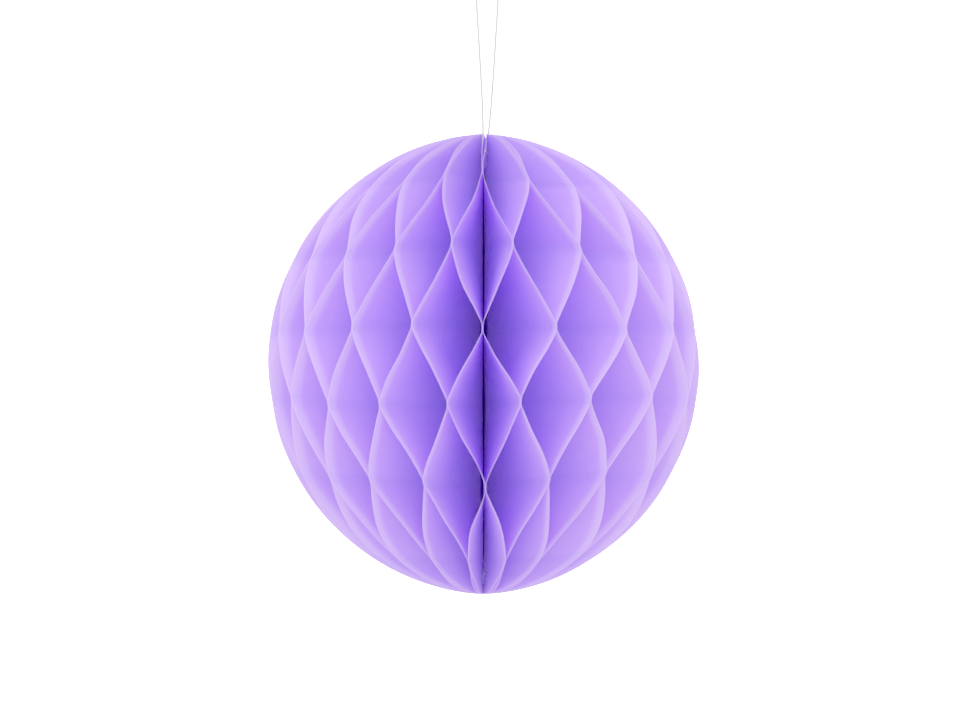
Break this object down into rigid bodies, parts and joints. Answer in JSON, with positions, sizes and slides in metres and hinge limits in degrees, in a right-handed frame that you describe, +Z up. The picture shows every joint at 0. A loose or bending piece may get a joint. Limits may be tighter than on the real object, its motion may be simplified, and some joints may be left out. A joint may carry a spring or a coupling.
{
  "type": "paper honeycomb ball",
  "caption": "Hanging ball of thin tissue leaves glued in a honeycomb about a spine, folding flat between two card half discs, with a thread loop on top.",
  "frame": {"origin": "hang point: the inside of the top of the thread loop, where a hook carries it", "axes": "+Z up along the string, the seam between the two card covers towards +Y, so -Y is the front"},
  "size_m": [0.0936, 0.0934, 0.137],
  "materials": {
    "tissue": "matt translucent tissue paper",
    "card": "matt uncoated card",
    "adhesive": "clear adhesive film",
    "binding_thread": "twisted cotton thread",
    "loop_thread": "twisted cotton thread"
  },
  "bodies": {
    "loop": {"hanging_loop": "loop_thread"},
    "core": {"first_cover": "card", "top_binding_thread": "binding_thread", "top_knot": "binding_thread", "bottom_binding_thread": "binding_thread", "bottom_knot": "binding_thread"},
    "fan_01": {"leaf_01": "tissue"},
    "fan_02": {"leaf_02": "tissue"},
    "fan_03": {"leaf_03": "tissue"},
    "fan_04": {"leaf_04": "tissue"},
    "fan_05": {"leaf_05": "tissue"},
    "fan_06": {"leaf_06": "tissue"},
    "fan_07": {"leaf_07": "tissue"},
    "fan_08": {"leaf_08": "tissue"},
    "fan_09": {"leaf_09": "tissue"},
    "fan_10": {"leaf_10": "tissue"},
    "fan_11": {"leaf_11": "tissue"},
    "fan_12": {"leaf_12": "tissue"},
    "fan_13": {"leaf_13": "tissue"},
    "fan_14": {"leaf_14": "tissue"},
    "fan_15": {"leaf_15": "tissue"},
    "fan_16": {"leaf_16": "tissue"},
    "fan_17": {"leaf_17": "tissue"},
    "fan_18": {"leaf_18": "tissue"},
    "fan_19": {"leaf_19": "tissue"},
    "fan_20": {"leaf_20": "tissue"},
    "fan_21": {"leaf_21": "tissue"},
    "fan_22": {"leaf_22": "tissue"},
    "fan_23": {"leaf_23": "tissue"},
    "fan_24": {"leaf_24": "tissue"},
    "fan_25": {"leaf_25": "tissue"},
    "fan_26": {"leaf_26": "tissue"},
    "fan_27": {"leaf_27": "tissue"},
    "fan_28": {"leaf_28": "tissue"},
    "fan_29": {"leaf_29": "tissue"},
    "fan_30": {"leaf_30": "tissue"},
    "fan_31": {"leaf_31": "tissue"},
    "fan_32": {"leaf_32": "tissue"},
    "fan_33": {"leaf_33": "tissue"},
    "fan_34": {"leaf_34": "tissue"},
    "fan_35": {"leaf_35": "tissue"},
    "fan_36": {"leaf_36": "tissue"},
    "fan_37": {"leaf_37": "tissue"},
    "fan_38": {"leaf_38": "tissue"},
    "fan_39": {"leaf_39": "tissue"},
    "fan_40": {"leaf_40": "tissue", "last_cover": "card", "upper_adhesive_strip": "adhesive", "lower_adhesive_strip": "adhesive"}
  },
  "joints": [
    {"name": "string_swivel", "type": "hinge", "parent": "loop", "child": "core", "pos_m": [0, 0, -0.04], "axis": [0, 0, 1], "range_deg": [-180, 180]},
    {"name": "fold_01", "type": "hinge", "parent": "core", "child": "fan_01", "pos_m": [-0.0008, 0, -0.08668], "axis": [0, 0, -1], "range_deg": [0, 8.93], "deforming": ["leaf_01"]},
    {"name": "fold_02", "type": "hinge", "parent": "fan_01", "child": "fan_02", "pos_m": [-0.0008, 0, -0.08668], "axis": [0, 0, -1], "range_deg": [0, 9.17], "deforming": ["leaf_02"]},
    {"name": "fold_03", "type": "hinge", "parent": "fan_02", "child": "fan_03", "pos_m": [-0.0008, 0, -0.08668], "axis": [0, 0, -1], "range_deg": [0, 9.38], "deforming": ["leaf_03"]},
    {"name": "fold_04", "type": "hinge", "parent": "fan_03", "child": "fan_04", "pos_m": [-0.0008, 0, -0.08668], "axis": [0, 0, -1], "range_deg": [0, 9.53], "deforming": ["leaf_04"]},
    {"name": "fold_05", "type": "hinge", "parent": "fan_04", "child": "fan_05", "pos_m": [-0.0008, 0, -0.08668], "axis": [0, 0, -1], "range_deg": [0, 9.6], "deforming": ["leaf_05"]},
    {"name": "fold_06", "type": "hinge", "parent": "fan_05", "child": "fan_06", "pos_m": [-0.0008, 0, -0.08668], "axis": [0, 0, -1], "range_deg": [0, 9.6], "deforming": ["leaf_06"]},
    {"name": "fold_07", "type": "hinge", "parent": "fan_06", "child": "fan_07", "pos_m": [-0.0008, 0, -0.08668], "axis": [0, 0, -1], "range_deg": [0, 9.53], "deforming": ["leaf_07"]},
    {"name": "fold_08", "type": "hinge", "parent": "fan_07", "child": "fan_08", "pos_m": [-0.0008, 0, -0.08668], "axis": [0, 0, -1], "range_deg": [0, 9.38], "deforming": ["leaf_08"]},
    {"name": "fold_09", "type": "hinge", "parent": "fan_08", "child": "fan_09", "pos_m": [-0.0008, 0, -0.08668], "axis": [0, 0, -1], "range_deg": [0, 9.17], "deforming": ["leaf_09"]},
    {"name": "fold_10", "type": "hinge", "parent": "fan_09", "child": "fan_10", "pos_m": [-0.0008, 0, -0.08668], "axis": [0, 0, -1], "range_deg": [0, 8.93], "deforming": ["leaf_10"]},
    {"name": "fold_11", "type": "hinge", "parent": "fan_10", "child": "fan_11", "pos_m": [-0.0008, 0, -0.08668], "axis": [0, 0, -1], "range_deg": [0, 8.68], "deforming": ["leaf_11"]},
    {"name": "fold_12", "type": "hinge", "parent": "fan_11", "child": "fan_12", "pos_m": [-0.0008, 0, -0.08668], "axis": [0, 0, -1], "range_deg": [0, 8.43], "deforming": ["leaf_12"]},
    {"name": "fold_13", "type": "hinge", "parent": "fan_12", "child": "fan_13", "pos_m": [-0.0008, 0, -0.08668], "axis": [0, 0, -1], "range_deg": [0, 8.23], "deforming": ["leaf_13"]},
    {"name": "fold_14", "type": "hinge", "parent": "fan_13", "child": "fan_14", "pos_m": [-0.0008, 0, -0.08668], "axis": [0, 0, -1], "range_deg": [0, 8.08], "deforming": ["leaf_14"]},
    {"name": "fold_15", "type": "hinge", "parent": "fan_14", "child": "fan_15", "pos_m": [-0.0008, 0, -0.08668], "axis": [0, 0, -1], "range_deg": [0, 8], "deforming": ["leaf_15"]},
    {"name": "fold_16", "type": "hinge", "parent": "fan_15", "child": "fan_16", "pos_m": [-0.0008, 0, -0.08668], "axis": [0, 0, -1], "range_deg": [0, 8], "deforming": ["leaf_16"]},
    {"name": "fold_17", "type": "hinge", "parent": "fan_16", "child": "fan_17", "pos_m": [-0.0008, 0, -0.08668], "axis": [0, 0, -1], "range_deg": [0, 8.08], "deforming": ["leaf_17"]},
    {"name": "fold_18", "type": "hinge", "parent": "fan_17", "child": "fan_18", "pos_m": [-0.0008, 0, -0.08668], "axis": [0, 0, -1], "range_deg": [0, 8.23], "deforming": ["leaf_18"]},
    {"name": "fold_19", "type": "hinge", "parent": "fan_18", "child": "fan_19", "pos_m": [-0.0008, 0, -0.08668], "axis": [0, 0, -1], "range_deg": [0, 8.43], "deforming": ["leaf_19"]},
    {"name": "fold_20", "type": "hinge", "parent": "fan_19", "child": "fan_20", "pos_m": [-0.0008, 0, -0.08668], "axis": [0, 0, -1], "range_deg": [0, 8.68], "deforming": ["leaf_20"]},
    {"name": "fold_21", "type": "hinge", "parent": "fan_20", "child": "fan_21", "pos_m": [-0.0008, 0, -0.08668], "axis": [0, 0, -1], "range_deg": [0, 8.93], "deforming": ["leaf_21"]},
    {"name": "fold_22", "type": "hinge", "parent": "fan_21", "child": "fan_22", "pos_m": [-0.0008, 0, -0.08668], "axis": [0, 0, -1], "range_deg": [0, 9.17], "deforming": ["leaf_22"]},
    {"name": "fold_23", "type": "hinge", "parent": "fan_22", "child": "fan_23", "pos_m": [-0.0008, 0, -0.08668], "axis": [0, 0, -1], "range_deg": [0, 9.38], "deforming": ["leaf_23"]},
    {"name": "fold_24", "type": "hinge", "parent": "fan_23", "child": "fan_24", "pos_m": [-0.0008, 0, -0.08668], "axis": [0, 0, -1], "range_deg": [0, 9.53], "deforming": ["leaf_24"]},
    {"name": "fold_25", "type": "hinge", "parent": "fan_24", "child": "fan_25", "pos_m": [-0.0008, 0, -0.08668], "axis": [0, 0, -1], "range_deg": [0, 9.6], "deforming": ["leaf_25"]},
    {"name": "fold_26", "type": "hinge", "parent": "fan_25", "child": "fan_26", "pos_m": [-0.0008, 0, -0.08668], "axis": [0, 0, -1], "range_deg": [0, 9.6], "deforming": ["leaf_26"]},
    {"name": "fold_27", "type": "hinge", "parent": "fan_26", "child": "fan_27", "pos_m": [-0.0008, 0, -0.08668], "axis": [0, 0, -1], "range_deg": [0, 9.53], "deforming": ["leaf_27"]},
    {"name": "fold_28", "type": "hinge", "parent": "fan_27", "child": "fan_28", "pos_m": [-0.0008, 0, -0.08668], "axis": [0, 0, -1], "range_deg": [0, 9.38], "deforming": ["leaf_28"]},
    {"name": "fold_29", "type": "hinge", "parent": "fan_28", "child": "fan_29", "pos_m": [-0.0008, 0, -0.08668], "axis": [0, 0, -1], "range_deg": [0, 9.17], "deforming": ["leaf_29"]},
    {"name": "fold_30", "type": "hinge", "parent": "fan_29", "child": "fan_30", "pos_m": [-0.0008, 0, -0.08668], "axis": [0, 0, -1], "range_deg": [0, 8.93], "deforming": ["leaf_30"]},
    {"name": "fold_31", "type": "hinge", "parent": "fan_30", "child": "fan_31", "pos_m": [-0.0008, 0, -0.08668], "axis": [0, 0, -1], "range_deg": [0, 8.68], "deforming": ["leaf_31"]},
    {"name": "fold_32", "type": "hinge", "parent": "fan_31", "child": "fan_32", "pos_m": [-0.0008, 0, -0.08668], "axis": [0, 0, -1], "range_deg": [0, 8.43], "deforming": ["leaf_32"]},
    {"name": "fold_33", "type": "hinge", "parent": "fan_32", "child": "fan_33", "pos_m": [-0.0008, 0, -0.08668], "axis": [0, 0, -1], "range_deg": [0, 8.23], "deforming": ["leaf_33"]},
    {"name": "fold_34", "type": "hinge", "parent": "fan_33", "child": "fan_34", "pos_m": [-0.0008, 0, -0.08668], "axis": [0, 0, -1], "range_deg": [0, 8.08], "deforming": ["leaf_34"]},
    {"name": "fold_35", "type": "hinge", "parent": "fan_34", "child": "fan_35", "pos_m": [-0.0008, 0, -0.08668], "axis": [0, 0, -1], "range_deg": [0, 8], "deforming": ["leaf_35"]},
    {"name": "fold_36", "type": "hinge", "parent": "fan_35", "child": "fan_36", "pos_m": [-0.0008, 0, -0.08668], "axis": [0, 0, -1], "range_deg": [0, 8], "deforming": ["leaf_36"]},
    {"name": "fold_37", "type": "hinge", "parent": "fan_36", "child": "fan_37", "pos_m": [-0.0008, 0, -0.08668], "axis": [0, 0, -1], "range_deg": [0, 8.08], "deforming": ["leaf_37"]},
    {"name": "fold_38", "type": "hinge", "parent": "fan_37", "child": "fan_38", "pos_m": [-0.0008, 0, -0.08668], "axis": [0, 0, -1], "range_deg": [0, 8.23], "deforming": ["leaf_38"]},
    {"name": "fold_39", "type": "hinge", "parent": "fan_38", "child": "fan_39", "pos_m": [-0.0008, 0, -0.08668], "axis": [0, 0, -1], "range_deg": [0, 8.43], "deforming": ["leaf_39"]},
    {"name": "fold_40", "type": "hinge", "parent": "fan_39", "child": "fan_40", "pos_m": [-0.0008, 0, -0.08668], "axis": [0, 0, -1], "range_deg": [0, 8.68], "deforming": ["leaf_40"]}
  ],
  "couplings": [
    {"joint": "fold_02", "follows": "fold_01", "ratio": 1.027},
    {"joint": "fold_03", "follows": "fold_01", "ratio": 1.05},
    {"joint": "fold_04", "follows": "fold_01", "ratio": 1.0667},
    {"joint": "fold_05", "follows": "fold_01", "ratio": 1.0755},
    {"joint": "fold_06", "follows": "fold_01", "ratio": 1.0755},
    {"joint": "fold_07", "follows": "fold_01", "ratio": 1.0667},
    {"joint": "fold_08", "follows": "fold_01", "ratio": 1.05},
    {"joint": "fold_09", "follows": "fold_01", "ratio": 1.027},
    {"joint": "fold_10", "follows": "fold_01", "ratio": 1},
    {"joint": "fold_11", "follows": "fold_01", "ratio": 0.97159},
    {"joint": "fold_12", "follows": "fold_01", "ratio": 0.94456},
    {"joint": "fold_13", "follows": "fold_01", "ratio": 0.92158},
    {"joint": "fold_14", "follows": "fold_01", "ratio": 0.90488},
    {"joint": "fold_15", "follows": "fold_01", "ratio": 0.8961},
    {"joint": "fold_16", "follows": "fold_01", "ratio": 0.8961},
    {"joint": "fold_17", "follows": "fold_01", "ratio": 0.90488},
    {"joint": "fold_18", "follows": "fold_01", "ratio": 0.92158},
    {"joint": "fold_19", "follows": "fold_01", "ratio": 0.94456},
    {"joint": "fold_20", "follows": "fold_01", "ratio": 0.97159},
    {"joint": "fold_21", "follows": "fold_01", "ratio": 1},
    {"joint": "fold_22", "follows": "fold_01", "ratio": 1.027},
    {"joint": "fold_23", "follows": "fold_01", "ratio": 1.05},
    {"joint": "fold_24", "follows": "fold_01", "ratio": 1.0667},
    {"joint": "fold_25", "follows": "fold_01", "ratio": 1.0755},
    {"joint": "fold_26", "follows": "fold_01", "ratio": 1.0755},
    {"joint": "fold_27", "follows": "fold_01", "ratio": 1.0667},
    {"joint": "fold_28", "follows": "fold_01", "ratio": 1.05},
    {"joint": "fold_29", "follows": "fold_01", "ratio": 1.027},
    {"joint": "fold_30", "follows": "fold_01", "ratio": 1},
    {"joint": "fold_31", "follows": "fold_01", "ratio": 0.97159},
    {"joint": "fold_32", "follows": "fold_01", "ratio": 0.94456},
    {"joint": "fold_33", "follows": "fold_01", "ratio": 0.92158},
    {"joint": "fold_34", "follows": "fold_01", "ratio": 0.90488},
    {"joint": "fold_35", "follows": "fold_01", "ratio": 0.8961},
    {"joint": "fold_36", "follows": "fold_01", "ratio": 0.8961},
    {"joint": "fold_37", "follows": "fold_01", "ratio": 0.90488},
    {"joint": "fold_38", "follows": "fold_01", "ratio": 0.92158},
    {"joint": "fold_39", "follows": "fold_01", "ratio": 0.94456},
    {"joint": "fold_40", "follows": "fold_01", "ratio": 0.97159}
  ]
}
